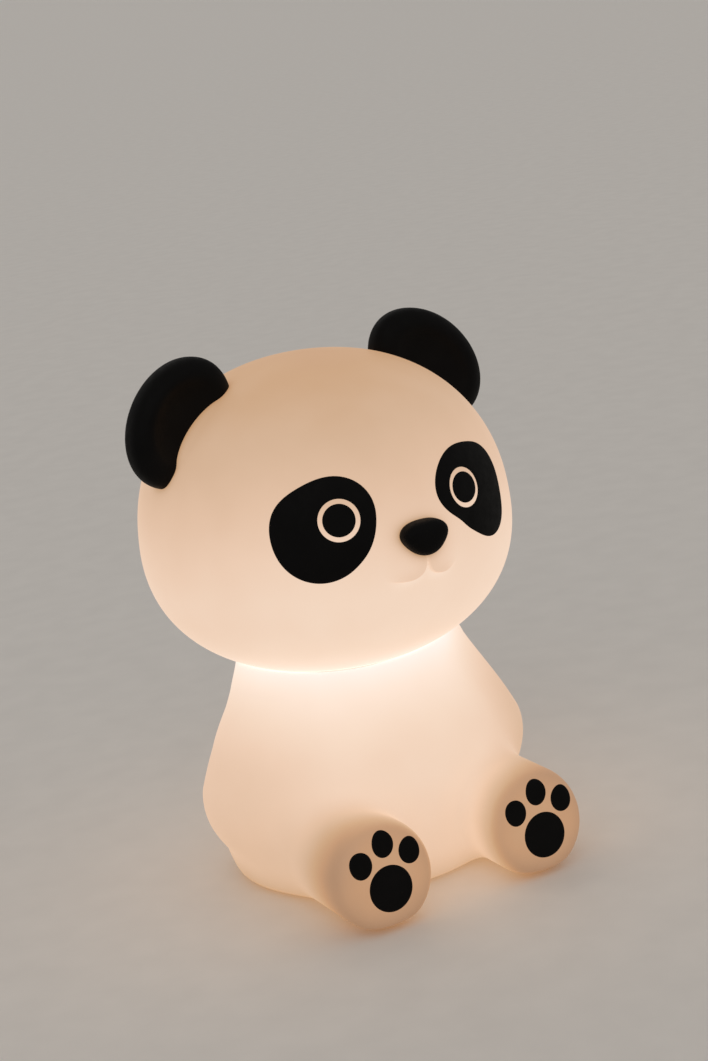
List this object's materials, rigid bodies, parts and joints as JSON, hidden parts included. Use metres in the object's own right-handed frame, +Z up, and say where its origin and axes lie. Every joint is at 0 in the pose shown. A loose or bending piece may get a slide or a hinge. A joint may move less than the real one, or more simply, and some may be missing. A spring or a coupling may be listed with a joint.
{
  "type": "panda night light",
  "caption": "Battery night light shaped like a sitting panda, with a glowing soft shell, a turning head and a base with button and battery door.",
  "frame": {"origin": "centre of the round underside, on the plane that the light stands on", "axes": "+Z up, the panda faces -Y, +X towards its own left"},
  "size_m": [0.1052, 0.107, 0.1454],
  "materials": {
    "warm_vinyl": "soft translucent satin vinyl, lit from inside",
    "black_vinyl": "fine matte",
    "white_plastic": "fine spark-eroded texture",
    "frosted_plastic": "frosted, translucent",
    "button_rubber": "matte",
    "switch_plastic": "moulded satin",
    "screw_steel": "zinc plated",
    "contact_brass": "stamped strip",
    "cell_sleeve": "plain sleeve",
    "board_green": "solder mask",
    "led_amber": "phosphor gel",
    "wire_sleeve": "smooth insulation"
  },
  "bodies": {
    "body": {"body_shell": "warm_vinyl", "main_pad_left": "black_vinyl", "main_pad_right": "black_vinyl", "toe_pads_left": "black_vinyl", "toe_pads_right": "black_vinyl", "base_plate": "white_plastic", "retaining_ring": "white_plastic", "battery_tower": "white_plastic", "diffuser_dome": "frosted_plastic", "neck_bearing": "frosted_plastic", "neck_retainer": "frosted_plastic", "push_switch": "switch_plastic", "ring_screws": "screw_steel", "board_screws": "screw_steel", "contact_plates": "contact_brass", "battery_cell_1": "cell_sleeve", "battery_cell_2": "cell_sleeve", "battery_cell_3": "cell_sleeve", "lamp_board": "board_green", "switch_board": "board_green", "led_chips": "led_amber", "lead_wires": "wire_sleeve"},
    "head": {"head_shell": "warm_vinyl", "head_collar": "frosted_plastic", "ear_left": "black_vinyl", "ear_right": "black_vinyl", "nose": "black_vinyl", "eye_patch_left": "black_vinyl", "eye_patch_right": "black_vinyl", "pupil_left": "black_vinyl", "pupil_right": "black_vinyl"},
    "button": {"power_button": "button_rubber", "switch_plunger": "switch_plastic"},
    "door": {"battery_door": "white_plastic", "contact_leaves": "screw_steel"},
    "door_screw": {"door_screw": "screw_steel"}
  },
  "joints": [
    {"name": "head_swivel", "type": "hinge", "parent": "body", "child": "head", "pos_m": [0, 0, 0.0615], "axis": [0, 0, 1], "continuous": true},
    {"name": "button_press", "type": "slide", "parent": "body", "child": "button", "axis": [0, 0, 1], "range_m": [0, 0.0012], "stiffness_N_per_m": 800, "springref_m": -0.0005},
    {"name": "door_off", "type": "slide", "parent": "body", "child": "door", "axis": [0, 0, -1], "range_m": [0, 0.03]},
    {"name": "door_screw_turn", "type": "hinge", "parent": "door", "child": "door_screw", "pos_m": [0, -0.0182, 0.001], "axis": [0, 0, 1], "continuous": true}
  ]
}
